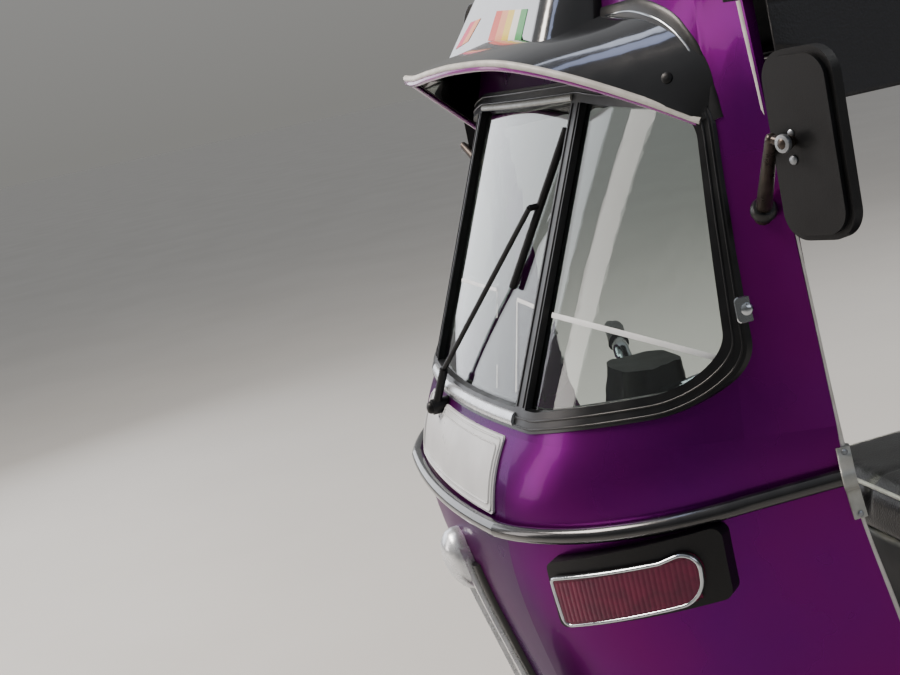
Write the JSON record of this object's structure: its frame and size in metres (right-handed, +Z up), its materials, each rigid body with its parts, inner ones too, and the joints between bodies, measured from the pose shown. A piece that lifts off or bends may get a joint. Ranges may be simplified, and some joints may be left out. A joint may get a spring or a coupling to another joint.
{
  "type": "auto rickshaw",
  "caption": "Three-wheeled passenger taxi with a curved sheet cowl, a wraparound screen, a driver's seat, a passenger bench and a vinyl canopy.",
  "frame": {"origin": "on the ground under the middle of the vehicle's box, with the wheels straight", "axes": "+X to the vehicle's left, +Y to its rear, +Z up"},
  "size_m": [1.3044, 2.6247, 1.7098],
  "materials": {
    "body_paint": "violet candy enamel, glossy",
    "black_rubber": "extruded black rubber",
    "screen_glass": "clear safety glass",
    "gloss_black": "polished black plastic",
    "bright_trim": "chromed steel strip",
    "dark_tube": "dark grey enamelled tube",
    "white_plate": "blank white enamelled plate",
    "matt_black": "grained black moulding",
    "red_lens": "ribbed red acrylic",
    "under_paint": "grey floor enamel",
    "chassis_black": "black chassis paint",
    "lamp_glass": "pressed clear lamp glass",
    "tyre_rubber": "dusty black tyre",
    "wheel_steel": "silver enamelled pressed steel",
    "engine_metal": "cast aluminium",
    "exhaust_steel": "heat-stained steel",
    "seat_vinyl": "grained black vinyl",
    "canopy_vinyl": "black coated canvas",
    "mirror_face": "silvered glass"
  },
  "bodies": {
    "root": {"cowl": "body_paint", "screen_rubber": "black_rubber", "centre_pane": "screen_glass", "side_panes": "screen_glass", "visor": "gloss_black", "nose_spine": "black_rubber", "spine_strip": "bright_trim", "nose_rail": "dark_tube", "front_plate": "white_plate", "side_lamps": "matt_black", "side_lenses": "red_lens", "floor_pan": "under_paint", "tub": "body_paint", "seat_box": "under_paint", "rear_arms": "chassis_black", "rear_shocks": "chassis_black", "engine": "engine_metal", "half_shafts": "chassis_black", "silencer": "exhaust_steel", "bumper": "dark_tube", "driver_seat": "seat_vinyl", "bench_seat": "seat_vinyl", "bench_back": "seat_vinyl", "canopy": "canopy_vinyl", "hood_frame": "dark_tube", "mirror_shells": "matt_black", "mirror_glass": "mirror_face", "mirror_arms": "chassis_black", "wiper": "chassis_black", "rear_lamps": "red_lens"},
    "steering": {"fork": "chassis_black", "front_link": "chassis_black", "handlebar": "bright_trim", "grips": "black_rubber", "bar_head": "matt_black", "mudguard": "body_paint", "headlamp": "matt_black", "headlamp_lens": "lamp_glass"},
    "front_wheel": {"front_tyre": "tyre_rubber", "front_wheel": "wheel_steel"},
    "left_wheel": {"left_tyre": "tyre_rubber", "left_wheel": "wheel_steel"},
    "right_wheel": {"right_tyre": "tyre_rubber", "right_wheel": "wheel_steel"},
    "engine_lid": {"engine_lid": "body_paint"}
  },
  "joints": [
    {"name": "steering_turn", "type": "hinge", "parent": "root", "child": "steering", "pos_m": [0, -0.9575, 0.5], "axis": [0, 0.342, 0.9397], "range_deg": [-40, 40]},
    {"name": "front_wheel_spin", "type": "hinge", "parent": "steering", "child": "front_wheel", "pos_m": [0, -1.0575, 0.205], "axis": [1, 0, 0], "continuous": true},
    {"name": "left_wheel_spin", "type": "hinge", "parent": "root", "child": "left_wheel", "pos_m": [0.575, 0.9425, 0.205], "axis": [1, 0, 0], "continuous": true},
    {"name": "right_wheel_spin", "type": "hinge", "parent": "root", "child": "right_wheel", "pos_m": [-0.575, 0.9425, 0.205], "axis": [1, 0, 0], "continuous": true},
    {"name": "engine_lid_lift", "type": "hinge", "parent": "root", "child": "engine_lid", "pos_m": [0, 1.2935, 0.757], "axis": [1, 0, 0], "range_deg": [0, 80]}
  ]
}
